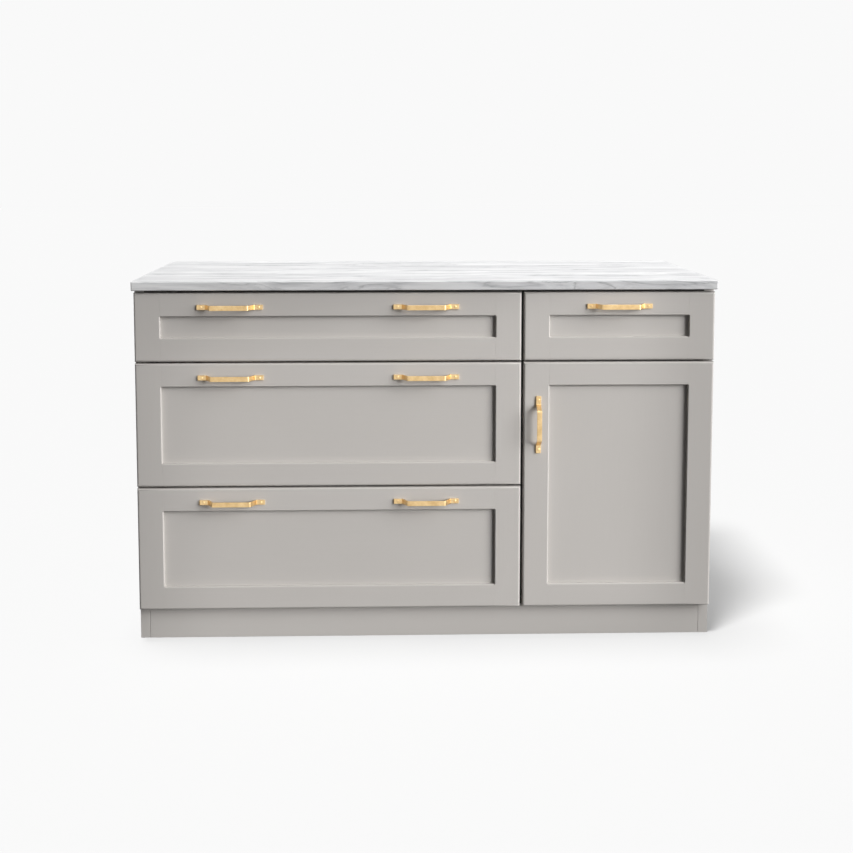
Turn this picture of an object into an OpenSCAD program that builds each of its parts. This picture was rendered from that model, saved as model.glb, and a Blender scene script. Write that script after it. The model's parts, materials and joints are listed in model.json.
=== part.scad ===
// Kitchen island unit: three wide drawers beside one narrow drawer over a cupboard,
// framed fronts, strap handles, full-extension runners, concealed hinges and a stone top.
// X runs to the right, the fronts face -Y, Z is up. The origin is on the floor, at the
// middle of the object's box.

/* [Body] */
// Width over the two end panels
body_w = 1350; // [1250:10:1450]
// Depth of the end panels, front to back
body_d = 602; // [600:2:650]
// Thickness of the end panels and of the back panel
panel_t = 22; // [18:1:25]
// Thickness of the inner boards
board_t = 18; // [16:1:19]
// Floor to the underside of the fronts
plinth_h = 75; // [70:5:120]
// Width of the drawer side, from the left end to the middle of the column joint
drawer_side_w = 900; // [850:10:920]
// Hairline between neighbouring boards
joint = 0.5; // [0.3:0.1:1]

/* [Worktop] */
// Thickness of the stone
top_t = 21; // [20:1:30]
// How far the stone runs past the fronts
top_over_front = 10; // [5:1:20]
// How far the stone runs past the end panels
top_over_side = 2; // [0:1:10]
// How far the stone runs past the back panel
top_over_back = 14; // [5:1:30]
// Bevel on the stone's edges
top_bevel = 1.5; // [1:0.5:3]

/* [Fronts] */
// Thickness of the fronts
front_t = 22; // [20:1:24]
// Height of the deep drawer fronts
deep_front_h = 290; // [280:5:300]
// Height of the shallow drawer fronts
shallow_front_h = 160; // [150:5:170]
// Gap between one front and the next above it
row_gap = 4; // [3:0.5:5]
// Gap between the two columns of fronts
column_gap = 6; // [4:0.5:7]
// Shadow gap between the top fronts and the stone
shadow_gap = 6; // [5:1:10]
// Width of the upright stiles
stile_w = 60; // [55:1:62]
// Width of the level rails
rail_w = 55; // [50:1:58]
// Depth of the recess from the frame's face to the panel's face
recess = 10; // [8:0.5:10]
// Thickness of the flat panels
panel_core_t = 8; // [6:1:9]
// Radius on the outer front edges
edge_r = 5; // [3:0.5:6]
// Bevel round the window of a front
window_bevel = 2; // [1:0.5:3]
// Gap between the fronts' backs and the body
back_gap = 2; // [2:0.5:3]

/* [Handles] */
// Overall length of a drawer handle
drawer_handle_l = 152; // [130:1:160]
// Overall length of the door handle
door_handle_l = 135; // [120:1:160]
// How far a handle stands out
handle_out = 28; // [26:1:32]
// Width of the strap
strap_w = 11.5; // [10:0.5:13]
// Thickness of the strap
strap_t = 4; // [3:0.5:5]
// Length of the flat foot at each end
foot_l = 19; // [18:1:22]
// Run of each slanted leg
leg_run = 13; // [10:1:15]
// Radius of the bends, on the strap's middle line
bend_r = 4; // [3:0.5:5]
// Drop of the drawer handles below the top edge of their fronts
handle_drop = 33; // [30:1:36]
// Drop of the middle of the door handle below the door's top edge
door_handle_drop = 147; // [140:1:160]

/* [Drawer boxes] */
// Thickness of the box sides, front and back
box_t = 15; // [12:1:16]
// Thickness of the box bottom
box_floor_t = 8; // [6:1:10]
// Height of the deep boxes
deep_box_h = 220; // [200:5:225]
// Height of the shallow boxes
shallow_box_h = 100; // [90:2:104]
// Length of the boxes and of their runners
box_l = 500; // [450:10:520]

/* [Runners] */
// Height of a runner
runner_h = 45; // [40:1:46]
// Width of a runner between body and box
runner_w = 13; // [12.7:0.1:13.5]
// Thickness of the runner's steel
steel_t = 1.2; // [1:0.1:1.5]
// Diameter of the bearing balls
ball_d = 3.2; // [3:0.1:3.4]

/* [Cupboard] */
// Setback of the shelf from the front edge of the body
shelf_setback = 20; // [10:5:40]
// Height of a hinge above or below the door's ends
hinge_inset = 90; // [80:5:110]

/* [Hidden] */
$fn = 48;
eps = 0.05;

// levels
total_h = plinth_h + 2*deep_front_h + shallow_front_h + 2*row_gap + shadow_gap + top_t;
under_top = total_h - top_t;
base_top = plinth_h + board_t;
bottom_z = plinth_h;
middle_z = bottom_z + deep_front_h + row_gap;
shallow_z = middle_z + deep_front_h + row_gap;
door_h = 2*deep_front_h + row_gap;

// depths, worked forward and back from the body's front edges
overall_d = handle_out + front_t + back_gap + body_d + top_over_back;
face_y = -overall_d/2 + handle_out;
front_back_y = face_y + front_t;
body_y = front_back_y + back_gap;
body_back_y = body_y + body_d;
inner_back_y = body_back_y - panel_t;
top_front_y = face_y - top_over_front;
top_back_y = body_back_y + top_over_back;

// widths
left_x = -body_w/2;
right_x = body_w/2;
column_x = left_x + drawer_side_w;
end_inset = 1.5;
left_in = left_x + panel_t;
right_in = right_x - panel_t;
part_l = column_x - board_t/2;
part_r = column_x + board_t/2;
front_l0 = left_x + end_inset;
front_l1 = column_x - column_gap/2;
front_r0 = column_x + column_gap/2;
front_r1 = right_x - end_inset;

// Middles of a wide front's two handles, as fractions of its width
pair_at = [0.247, 0.753];

// one row per drawer: name, front's left and right, its bottom and top, box height,
// the hole's left and right inside the body, and the middles of its handles as fractions
DRAWERS = [
  ["top_drawer", front_l0, front_l1, shallow_z, shallow_z + shallow_front_h,
   shallow_box_h, left_in, part_l, pair_at],
  ["middle_drawer", front_l0, front_l1, middle_z, middle_z + deep_front_h,
   deep_box_h, left_in, part_l, pair_at],
  ["bottom_drawer", front_l0, front_l1, bottom_z, bottom_z + deep_front_h,
   deep_box_h, left_in, part_l, pair_at],
  ["side_drawer", front_r0, front_r1, shallow_z, shallow_z + shallow_front_h,
   shallow_box_h, part_r, right_in, [0.5]]
];
DRAWER_PARTS = ["frame", "panel", "handles", "handle_screws", "box_sides", "box_ends",
                "box_bottom", "runners", "middle_runners"];
BODY_PARTS = ["worktop", "end_panel_left", "end_panel_right", "centre_partition",
              "base_board", "plinth", "back_panel", "top_rails", "divider_rails", "shelf",
              "shelf_pins", "levelling_feet", "body_runners", "hinge_arms"];
DOOR_PARTS = ["door_frame", "door_panel", "door_handle", "door_handle_screws",
              "hinge_cups", "hinge_links"];

paint = "#b5b0aa";
stone = "#e4e4e6";
brass = "#c79a4e";
pale_wood = "#d8c09a";
white_board = "#e9e7e2";
steel = "#a9adb2";
black_plastic = "#2b2b2d";

// ---------------------------------------------------------------- helpers

module block(lo, hi) {
  translate(lo) cube(hi - lo);
}

// Turns a drawing of (y, z) into a solid that runs along X from x0 to x1
module along_x(x0, x1) {
  translate([x0, 0, 0]) rotate([90, 0, 90]) linear_extrude(x1 - x0) children();
}

// Turns a drawing of (x, y) into a solid from z0 to z1
module along_z(z0, z1) {
  translate([0, 0, z0]) linear_extrude(z1 - z0) children();
}

// Turns a drawing of (x, z) into a solid from y0 to y1
module along_y(y0, y1) {
  translate([0, y1, 0]) rotate([90, 0, 0]) linear_extrude(y1 - y0) children();
}

// A rectangle whose two corners on the low side of the second axis are rounded
module rounded_low(a0, a1, b0, b1, r) {
  translate([a0, b0 + r]) square([a1 - a0, b1 - b0 - r]);
  translate([a0 + r, b0]) square([a1 - a0 - 2*r, 2*r]);
  for (a = [a0 + r, a1 - r]) translate([a, b0 + r]) circle(r);
}

// The same for drawings where the front is the first axis
module rounded_front(a0, a1, b0, b1, r) {
  translate([a0 + r, b0]) square([a1 - a0 - r, b1 - b0]);
  translate([a0, b0 + r]) square([2*r, b1 - b0 - 2*r]);
  for (b = [b0 + r, b1 - r]) translate([a0 + r, b]) circle(r);
}

// ---------------------------------------------------------------- stone and body

module worktop() {
  x0 = left_x - top_over_side;
  x1 = right_x + top_over_side;
  b = top_bevel;
  color(stone) intersection() {
    along_z(under_top, total_h) polygon([
      [x0 + b, top_front_y], [x1 - b, top_front_y], [x1, top_front_y + b],
      [x1, top_back_y - b], [x1 - b, top_back_y], [x0 + b, top_back_y],
      [x0, top_back_y - b], [x0, top_front_y + b]]);
    along_x(x0 - 1, x1 + 1) polygon([
      [top_front_y + b, under_top], [top_back_y - b, under_top],
      [top_back_y, under_top + b], [top_back_y, total_h - b],
      [top_back_y - b, total_h], [top_front_y + b, total_h],
      [top_front_y, total_h - b], [top_front_y, under_top + b]]);
    along_y(top_front_y - 1, top_back_y + 1) polygon([
      [x0 + b, under_top], [x1 - b, under_top], [x1, under_top + b],
      [x1, total_h - b], [x1 - b, total_h], [x0 + b, total_h],
      [x0, total_h - b], [x0, under_top + b]]);
  }
}

module end_panel(x0) {
  color(paint) difference() {
    block([x0, body_y, 0], [x0 + panel_t, body_back_y, under_top]);
    if (x0 > 0) pin_holes(right_in, -1);
  }
}

module centre_partition() {
  color(white_board) difference() {
    block([part_l, body_y, base_top], [part_r, inner_back_y - joint, under_top]);
    pin_holes(part_r, 1);
  }
}

module base_board() {
  color(white_board) block([left_in, body_y, plinth_h], [right_in, inner_back_y - joint, base_top]);
}

module plinth() {
  color(paint) block([left_in + joint, body_y, 0], [right_in - joint, body_y + board_t, plinth_h - joint]);
}

module back_panel() {
  color(paint) block([left_in + joint, inner_back_y, 0], [right_in - joint, body_back_y, under_top]);
}

// Depth of the flat rails that tie the boards together
rail_d = 100;

// Flat rails lying front and back, in one level of a column
module rails(x0, x1, z1) {
  for (y = [body_y, inner_back_y - joint - rail_d])
    block([x0, y, z1 - board_t], [x1, y + rail_d, z1]);
}

module top_rails() {
  color(white_board) {
    rails(left_in, part_l, under_top);
    rails(part_r, right_in, under_top);
  }
}

divider_top = shallow_z - row_gap/2;

// The rails between the narrow drawer and the cupboard
module divider_rails() {
  color(white_board) rails(part_r, right_in, divider_top);
}

shelf_z = (base_top + divider_top - board_t)/2;
shelf_side_play = 1;
shelf_back_play = 3;
pin_d = 5;
pin_out = 8;
pin_in = 10;
pin_inset = 60;
pin_ys = [body_y + pin_inset, inner_back_y - pin_inset];
// Heights of the shelf in its row of pin holes
pin_pitch = 32;
pin_play = 0.1;
collar_d = 8;
collar_t = 0.8;
pin_zs = [for (i = [-2:2]) shelf_z - pin_d/2 + i*pin_pitch];

// Two upright rows of blind holes in the face at x; side is the way out of the board
module pin_holes(x, side) {
  for (y = pin_ys) for (z = pin_zs) translate([x + side, y, z]) rotate([0, -90*side, 0])
    cylinder(h = pin_in + 1 + 2*pin_play, d = pin_d + pin_play);
}

module shelf() {
  color(white_board)
    block([part_r + shelf_side_play, body_y + shelf_setback, shelf_z],
          [right_in - shelf_side_play, inner_back_y - shelf_back_play, shelf_z + board_t]);
}

// One shelf pin: a stud in the board's hole and a collar that the shelf lies on
module shelf_pin() {
  translate([0, 0, -pin_in]) cylinder(h = pin_in + pin_out, d = pin_d);
  cylinder(h = collar_t, d = collar_d);
}

module shelf_pins() {
  color(steel) for (y = pin_ys) {
    translate([part_r, y, shelf_z - pin_d/2]) rotate([0, 90, 0]) shelf_pin();
    translate([right_in, y, shelf_z - pin_d/2]) rotate([0, -90, 0]) shelf_pin();
  }
}

// Feet stand this far in from the ends, and this far left of the middle pair
foot_inset_x = 90;
foot_inset_y = 75;
foot_spacing = 330;
foot_xs = [left_in + foot_inset_x, column_x - foot_spacing, column_x, right_in - foot_inset_x];
foot_ys = [body_y + foot_inset_y, inner_back_y - foot_inset_y];
pad_r = 28;
pad_t = 6;
stem_r = 9;
socket_r = 16;
socket_h = 34;
cap_r = 34;
cap_t = 6;

// One levelling foot: pad on the floor, stem, socket and the cap under the base
module levelling_foot() {
  cylinder(h = pad_t, r = pad_r);
  cylinder(h = plinth_h - cap_t, r = stem_r);
  translate([0, 0, plinth_h - socket_h]) cylinder(h = socket_h - cap_t + eps, r = socket_r);
  translate([0, 0, plinth_h - cap_t]) cylinder(h = cap_t, r = cap_r);
}

module levelling_feet() {
  color(black_plastic) for (x = foot_xs) for (y = foot_ys) translate([x, y, 0]) levelling_foot();
}

// ---------------------------------------------------------------- framed fronts

groove_d = 10;
groove_play = 0.2;

// The whole front before it is cut into stiles and rails: rounded on its outer front edges
module front_blank(x0, x1, z0, z1) {
  intersection() {
    along_z(z0, z1) rounded_low(x0, x1, face_y, front_back_y, edge_r);
    along_x(x0, x1) rounded_front(face_y, front_back_y, z0, z1, edge_r);
  }
}

// The window through a frame, with a small bevel at the face, and the groove that holds the panel
module window(x0, x1, z0, z1) {
  wx0 = x0 + stile_w;
  wx1 = x1 - stile_w;
  wz0 = z0 + rail_w;
  wz1 = z1 - rail_w;
  panel_y = face_y + recess;
  block([wx0, face_y - 1, wz0], [wx1, front_back_y + 1, wz1]);
  block([wx0 - groove_d, panel_y - groove_play/2, wz0 - groove_d],
        [wx1 + groove_d, panel_y + panel_core_t + groove_play/2, wz1 + groove_d]);
  b = window_bevel;
  along_z(wz0, wz1) for (w = [[wx0, -1], [wx1, 1]])
    polygon([[w[0] - eps*w[1], face_y - eps], [w[0] + (b + eps)*w[1], face_y - eps],
             [w[0] - eps*w[1], face_y + b + eps]]);
  along_x(wx0, wx1) for (w = [[wz0, -1], [wz1, 1]])
    polygon([[face_y - eps, w[0] - eps*w[1]], [face_y - eps, w[0] + (b + eps)*w[1]],
             [face_y + b + eps, w[0] - eps*w[1]]]);
}

hair = 0.12;

// Two stiles and two rails, parted by hairlines at the butt joints
module framed_front(x0, x1, z0, z1) {
  difference() {
    front_blank(x0, x1, z0, z1);
    window(x0, x1, z0, z1);
    for (x = [x0 + stile_w, x1 - stile_w])
      block([x - hair/2, face_y - 1, z0 - 1], [x + hair/2, front_back_y + 1, z1 + 1]);
  }
}

module front_panel(x0, x1, z0, z1) {
  d = groove_d - 1;
  block([x0 + stile_w - d, face_y + recess, z0 + rail_w - d],
        [x1 - stile_w + d, face_y + recess + panel_core_t, z1 - rail_w + d]);
}

// ---------------------------------------------------------------- strap handles

head_r = 3;
shank_r = 2;
screw_play = 0.1;
// How deep a screw's head is let into the foot, and how far it stands proud
head_sunk = 1.6;
head_proud = 0.6;
slot_w = 0.8;
bend_steps = 4;

// The points of one bend on the middle line: it comes to the corner c along a direction
// and turns by the angle a, to the left where a is positive
function bend_points(c, along, a) = let (cut = bend_r*tan(abs(a)/2))
  [for (i = [0:bend_steps]) let (b = abs(a)*i/bend_steps)
    c + (bend_r*sin(b) - cut)*along + sign(a)*bend_r*(1 - cos(b))*[-along[1], along[0]]];

// The strap's middle line: foot, bend, slanted leg, bend and bar, then the same mirrored
function strap_line(l) = let (
    h = l/2, low = strap_t/2, high = handle_out - strap_t/2, rise = high - low,
    slant = norm([leg_run, rise]), shift = strap_t*(slant - leg_run)/rise/2,
    turn = atan2(rise, leg_run), leg = [leg_run, rise]/slant,
    half = concat([[-h, low]], bend_points([shift - h + foot_l, low], [1, 0], turn),
                  bend_points([shift - h + foot_l + leg_run, high], leg, -turn)),
    n = len(half))
  concat(half, [for (i = [1:n]) [-half[n - i][0], half[n - i][1]]]);

// The points of a line moved sideways by s, to the left where s is positive
function moved(p, s) = [for (i = [0:len(p) - 1]) let (
    a = i > 0 ? p[i] - p[i - 1] : p[1] - p[0],
    b = i < len(p) - 1 ? p[i + 1] - p[i] : a,
    sum = a/norm(a) + b/norm(b))
  p[i] + 2*s*[-sum[1], sum[0]]/(sum*sum)];

// The strap seen from its edge
module strap_outline(l) {
  low = moved(strap_line(l), -strap_t/2);
  high = moved(strap_line(l), strap_t/2);
  polygon(concat(low, [for (i = [len(high) - 1:-1:0]) high[i]]));
}

// Puts a shape that stands up from z = 0 on the middle of both feet of a handle
module on_feet(l) {
  for (s = [-1, 1]) translate([s*(l - foot_l)/2, 0, 0]) rotate([90, 0, 0]) children();
}

// A handle lying along X, standing out along -Y from y = 0
module strap_handle(l) {
  difference() {
    rotate([180, 0, 0]) translate([0, 0, -strap_w/2]) linear_extrude(strap_w) strap_outline(l);
    on_feet(l) {
      translate([0, 0, -1]) cylinder(h = strap_t + 2, r = shank_r + screw_play);
      translate([0, 0, strap_t - head_sunk]) cylinder(h = head_sunk + 1, r = head_r + screw_play);
    }
  }
}

// The two screws of a handle: a low slotted head let into the foot, and its shank
module handle_screw_pair(l) {
  on_feet(l) {
    difference() {
      translate([0, 0, strap_t - head_sunk]) cylinder(h = head_sunk + head_proud, r = head_r);
      translate([-slot_w/2, -head_r, strap_t]) cube([slot_w, 2*head_r, 1]);
    }
    cylinder(h = strap_t - head_sunk + eps, r = shank_r);
  }
}

function handle_x(d, f) = d[1] + f*(d[2] - d[1]);

module on_drawer_front(d) {
  for (f = d[8]) translate([handle_x(d, f), face_y, d[4] - handle_drop]) children();
}

// Distance of the door handle's middle from the door's edge
door_handle_in = 35;

module on_door() {
  translate([front_r0 + door_handle_in, face_y, bottom_z + door_h - door_handle_drop])
    rotate([0, 90, 0]) children();
}

// ---------------------------------------------------------------- drawer boxes

box_play = 0.2;
box_floor_up = 12;
floor_in = 7;
// Least height of a box that counts as deep
deep_from = 150;
// Height of a box above the underside of its front, and what the lowest one adds to clear
// the base board
deep_box_up = 27;
shallow_box_up = 26;
base_clear = 10;
tail_share = 0.62;
tail_count_deep = 5;
tail_count_shallow = 3;
tail_slope = 1/7;

function is_deep(d) = d[5] > deep_from;
function box_z(d) = d[3] + (is_deep(d) ? deep_box_up : shallow_box_up) + (d[3] == bottom_z ? base_clear : 0);
function box_x0(d) = d[6] + runner_w;
function box_x1(d) = d[7] - runner_w;
function tails(d) = is_deep(d) ? tail_count_deep : tail_count_shallow;

// One dovetail seen on the side board: wide at the board's end, narrow inside
module dovetail(w, grow) {
  n = w/2 - tail_slope*box_t;
  polygon([[-grow, -w/2 - grow], [box_t, -n - grow], [box_t + box_play, -n - grow],
           [box_t + box_play, n + grow], [box_t, n + grow], [-grow, w/2 + grow]]);
}

// The tails along one end of a side board; the end is at y = 0 and the board runs to +y
module tail_row(h, count, grow) {
  pitch = h/count;
  for (i = [0:count - 1]) translate([0, pitch*(i + 0.5)]) dovetail(pitch*tail_share, grow);
}

// A side board's outline: the middle stretch and a row of tails at both ends
module side_outline(h, count, grow) {
  start = box_t + box_play/2;
  translate([start, 0]) square([box_l - 2*start, h]);
  tail_row(h, count, grow);
  translate([box_l, 0]) mirror([1, 0]) tail_row(h, count, grow);
}

module floor_groove(d, grow) {
  z = box_z(d) + box_floor_up;
  n = box_t - floor_in - grow;
  block([box_x0(d) + n, front_back_y + n, z - grow],
        [box_x1(d) - n, front_back_y + box_l - n, z + box_floor_t + grow]);
}

module box_sides(d) {
  difference() {
    for (x = [box_x0(d), box_x1(d) - box_t])
      translate([0, front_back_y, box_z(d)]) along_x(x, x + box_t) side_outline(d[5], tails(d), 0);
    floor_groove(d, box_play);
  }
}

module box_ends(d) {
  difference() {
    for (y = [front_back_y, front_back_y + box_l - box_t])
      block([box_x0(d), y, box_z(d)], [box_x1(d), y + box_t, box_z(d) + d[5]]);
    for (x = [box_x0(d) - 1, box_x1(d) - box_t - box_play/2])
      translate([0, front_back_y, box_z(d)])
        along_x(x, x + box_t + 1 + box_play/2) {
          tail_row(d[5], tails(d), box_play/2);
          translate([box_l, 0]) mirror([1, 0]) tail_row(d[5], tails(d), box_play/2);
        }
    floor_groove(d, box_play);
  }
}

module box_bottom(d) {
  floor_groove(d, 0);
}

// ---------------------------------------------------------------- runners

runner_start = body_y + 3;
runner_up = 40;
// How far each member reaches across the runner, and the lips that hold the balls
body_reach = 9.4;
middle_from = 2.4;
middle_to = 10.8;
box_reach = 8.6;
body_lip = 2.6;
box_lip = 2.2;
ball_play = 0.3;
// How much shorter the two moving members are than the runner
box_member_less = 8;
middle_member_less = 6;
middle_start = 2;

// Every runner profile is drawn with the body's board at u = 0 and the box at u = runner_w.
// A steel channel: web at u0, flanges that reach to u1, and a lip of depth lip turned in
module channel(u0, u1, half_h, lip) {
  s = sign(u1 - u0);
  t = steel_t;
  difference() {
    translate([min(u0, u1), -half_h]) square([abs(u1 - u0), 2*half_h]);
    translate([s > 0 ? u0 + t : u1 - 1, -half_h + t]) square([abs(u1 - u0) - t + 1, 2*(half_h - t)]);
  }
  if (lip > 0) for (v = [-half_h, half_h - lip])
    translate([s > 0 ? u1 - t : u1, v]) square([t, lip]);
}

middle_half = runner_h/2 - steel_t - ball_d - ball_play;
inner_half = middle_half - steel_t - ball_d - ball_play;

module body_member() { channel(0, body_reach, runner_h/2, body_lip); }
module middle_member() { channel(middle_from, middle_to, middle_half, 0); }
module box_member() { channel(runner_w, runner_w - box_reach, inner_half, box_lip); }

// Places a runner profile on both sides of a drawer's hole, from y0 to y1
module both_sides(d, y0, y1) {
  z = box_z(d) + runner_up;
  along_y(y0, y1) {
    translate([d[6], z]) children();
    translate([d[7], z]) mirror([1, 0]) children();
  }
}

module drawer_runners(d) {
  both_sides(d, runner_start, runner_start + box_l - box_member_less) box_member();
}

module middle_runners(d) {
  both_sides(d, runner_start + middle_start, runner_start + box_l - middle_member_less) middle_member();
}

module body_runners() {
  color(steel) for (d = DRAWERS) both_sides(d, runner_start, runner_start + box_l) body_member();
}

// ---------------------------------------------------------------- concealed hinges

// Plan of the hinge, measured from the right end panel's inner face and the door's back
arm_pivot = [right_in - 20, body_y + 4];
cup_pivot = [front_r1 - 11.5, front_back_y - 3];
cup_x = front_r1 - 22.5;
cup_d = 35;
cup_depth = 12.5;
link_turn = 36;
door_turn = 110;
pin_r = 1.5;
link_w = 12;
link_t = 2.4;
cup_eye_r = 2.6;
arm_eye_r = 3;
hinge_zs = [bottom_z + hinge_inset, bottom_z + door_h - hinge_inset];

function turned(p, a) = [p[0]*cos(a) - p[1]*sin(a), p[0]*sin(a) + p[1]*cos(a)];
// The link's elbow clears the cup's rim when the door stands open
elbow = cup_pivot + turned([0, 5.8], door_turn + link_turn);

// A bar of width w from p to q
module bar2d(p, q, w) {
  d = q - p;
  translate(p) rotate(atan2(d[1], d[0])) translate([0, -w/2]) square([norm(d), w]);
}

module link_outline() {
  difference() {
    union() {
      bar2d(cup_pivot, elbow, link_t);
      bar2d(elbow, arm_pivot, link_t);
      translate(elbow) circle(link_t/2);
      translate(cup_pivot) circle(cup_eye_r);
      translate(arm_pivot) circle(arm_eye_r);
    }
    for (p = [cup_pivot, arm_pivot]) translate(p) circle(pin_r + eps);
  }
}

module hinge_links() {
  color(steel) for (z = hinge_zs) along_z(z - link_w/2, z + link_w/2) link_outline();
}

cheek_t = 1.6;
arm_l = 66;
nose_r = 3.4;
// Depth of the open mouth between the arm's cheeks, where the link turns
mouth_l = 16;

// The arm from the side: a nose round the pivot, then a straight run to the back
module arm_outline() {
  p = arm_pivot;
  translate(p) circle(nose_r);
  translate(p) polygon([[-nose_r, 0], [nose_r, -1], [8, 10], [12, mouth_l], [12, arm_l], [0, arm_l], [-2, 20]]);
}

arm_screw_ys = [28, 48];
arm_screw_r = 3;
plate_t = 8;
plate_w = 18;
wing_t = 3;
wing_w = 14;
wing_l = 46;
wing_y = 37;
wing_hole_z = 16;
wing_hole_r = 2.2;

module hinge_arm() {
  w = link_w/2 + 0.3;
  difference() {
    along_z(-w - cheek_t, w + cheek_t) arm_outline();
    along_z(-w, w) translate(arm_pivot - [20, 20]) square([40, 20 + mouth_l]);
    for (y = arm_screw_ys) translate([arm_pivot[0] - 5, arm_pivot[1] + y, 0]) rotate([0, 90, 0])
      cylinder(h = 20, r = arm_screw_r + screw_play);
  }
  translate([0, 0, -w - cheek_t]) translate(arm_pivot) cylinder(h = 2*(w + cheek_t), r = pin_r);
  // the screw that sets the door's gap and the one that holds the arm, with slotted heads
  for (y = arm_screw_ys) translate([arm_pivot[0] - 1, arm_pivot[1] + y, 0]) rotate([0, 90, 0]) difference() {
    cylinder(h = 14, r = arm_screw_r);
    translate([-slot_w/2, -arm_screw_r, -1]) cube([slot_w, 2*arm_screw_r, 2]);
  }
  // mounting plate on the end panel, with its two wings
  block([right_in - plate_t, body_y + 24, -plate_w/2], [right_in, body_y + arm_l + 2, plate_w/2]);
  difference() {
    block([right_in - wing_t, body_y + wing_y - wing_w/2, -wing_l/2],
          [right_in, body_y + wing_y + wing_w/2, wing_l/2]);
    for (z = [-wing_hole_z, wing_hole_z])
      translate([right_in - wing_t - 1, body_y + wing_y, z]) rotate([0, 90, 0])
        cylinder(h = wing_t + 2, r = wing_hole_r);
  }
}

module hinge_arms() {
  color(steel) for (z = hinge_zs) translate([0, 0, z]) hinge_arm();
}

flange_t = 1.2;
flange_over = 1.5;
cup_wall = 1;
// Two ears carry the cup's screws above and below it
ear_z = 22.5;
ear_r = 7;
ear_x = -4;
ear_hole_r = 2;

// One hinge cup with its flange and its pin; its mouth is at the door's back
module hinge_cup() {
  translate([cup_x, front_back_y, 0]) difference() {
    union() {
      rotate([90, 0, 0]) cylinder(h = cup_depth, d = cup_d);
      rotate([-90, 0, 0]) {
        cylinder(h = flange_t, r = cup_d/2 + flange_over);
        for (z = [-ear_z, ear_z]) translate([ear_x, z, 0]) cylinder(h = flange_t, r = ear_r);
        translate([ear_x - ear_r, -ear_z, 0]) cube([2*ear_r, 2*ear_z, flange_t]);
      }
    }
    translate([0, flange_t + 1, 0]) rotate([90, 0, 0])
      cylinder(h = cup_depth + flange_t + 1 - cup_wall, r = cup_d/2 - cup_wall);
    for (z = [-ear_z, ear_z]) translate([ear_x, flange_t + 1, z]) rotate([90, 0, 0])
      cylinder(h = flange_t + 2, r = ear_hole_r);
  }
  intersection() {
    translate([cup_pivot[0], cup_pivot[1], -cup_d/2]) cylinder(h = cup_d, r = pin_r);
    translate([cup_x, front_back_y, 0]) rotate([90, 0, 0]) cylinder(h = cup_depth, d = cup_d - 1);
  }
}

module hinge_cups() {
  color(steel) for (z = hinge_zs) translate([0, 0, z]) hinge_cup();
}

// ---------------------------------------------------------------- door

door_z1 = bottom_z + door_h;
cup_play = 0.2;

module door_frame() {
  color(paint) difference() {
    framed_front(front_r0, front_r1, bottom_z, door_z1);
    for (z = hinge_zs) translate([cup_x, front_back_y + 1, z]) rotate([90, 0, 0])
      cylinder(h = cup_depth + 1 + cup_play, d = cup_d + cup_play);
  }
}

module door_panel() { color(paint) front_panel(front_r0, front_r1, bottom_z, door_z1); }
module door_handle() { color(brass) on_door() strap_handle(door_handle_l); }
module door_handle_screws() { color(brass) on_door() handle_screw_pair(door_handle_l); }

// ---------------------------------------------------------------- one drawer's parts

module drawer_part(d, part) {
  if (part == "frame") color(paint) framed_front(d[1], d[2], d[3], d[4]);
  if (part == "panel") color(paint) front_panel(d[1], d[2], d[3], d[4]);
  if (part == "handles") color(brass) on_drawer_front(d) strap_handle(drawer_handle_l);
  if (part == "handle_screws") color(brass) on_drawer_front(d) handle_screw_pair(drawer_handle_l);
  if (part == "box_sides") color(pale_wood) box_sides(d);
  if (part == "box_ends") color(pale_wood) box_ends(d);
  if (part == "box_bottom") color(pale_wood) box_bottom(d);
  if (part == "runners") color(steel) drawer_runners(d);
  if (part == "middle_runners") color(steel) middle_runners(d);
}

worktop();
end_panel(left_x);  // end_panel_left
end_panel(right_in);  // end_panel_right
centre_partition();
base_board();
plinth();
back_panel();
top_rails();
divider_rails();
shelf();
shelf_pins();
levelling_feet();
body_runners();
hinge_arms();
door_frame();
door_panel();
door_handle();
door_handle_screws();
hinge_cups();
hinge_links();
for (d = DRAWERS) for (p = DRAWER_PARTS)
  drawer_part(d, p);
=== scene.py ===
"""Kitchen island unit: finishes, softened edges, bent brass handles, bearings and screws."""
import json
import math

import bmesh
import bpy
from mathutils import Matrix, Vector

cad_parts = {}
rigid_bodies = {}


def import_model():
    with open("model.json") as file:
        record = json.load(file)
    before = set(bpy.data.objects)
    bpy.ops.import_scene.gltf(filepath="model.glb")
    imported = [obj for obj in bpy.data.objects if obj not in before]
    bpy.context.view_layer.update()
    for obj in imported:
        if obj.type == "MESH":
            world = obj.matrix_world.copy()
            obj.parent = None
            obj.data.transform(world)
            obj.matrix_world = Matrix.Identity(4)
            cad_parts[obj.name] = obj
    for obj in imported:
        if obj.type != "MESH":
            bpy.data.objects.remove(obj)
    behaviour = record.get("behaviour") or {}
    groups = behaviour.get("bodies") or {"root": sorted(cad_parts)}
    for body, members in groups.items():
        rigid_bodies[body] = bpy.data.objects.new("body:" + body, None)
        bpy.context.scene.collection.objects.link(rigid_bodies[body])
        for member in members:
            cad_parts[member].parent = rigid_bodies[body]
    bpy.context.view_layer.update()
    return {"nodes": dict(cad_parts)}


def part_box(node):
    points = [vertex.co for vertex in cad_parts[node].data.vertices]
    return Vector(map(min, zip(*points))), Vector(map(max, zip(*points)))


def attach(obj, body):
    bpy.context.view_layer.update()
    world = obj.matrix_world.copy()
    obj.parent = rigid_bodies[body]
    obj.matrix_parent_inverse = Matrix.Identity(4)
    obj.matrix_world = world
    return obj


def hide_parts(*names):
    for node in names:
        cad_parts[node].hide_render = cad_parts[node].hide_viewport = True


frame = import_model()

MM = 0.001
DRAWERS = ("top_drawer", "middle_drawer", "bottom_drawer", "side_drawer")


# ------------------------------------------------------------------ camera

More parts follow.
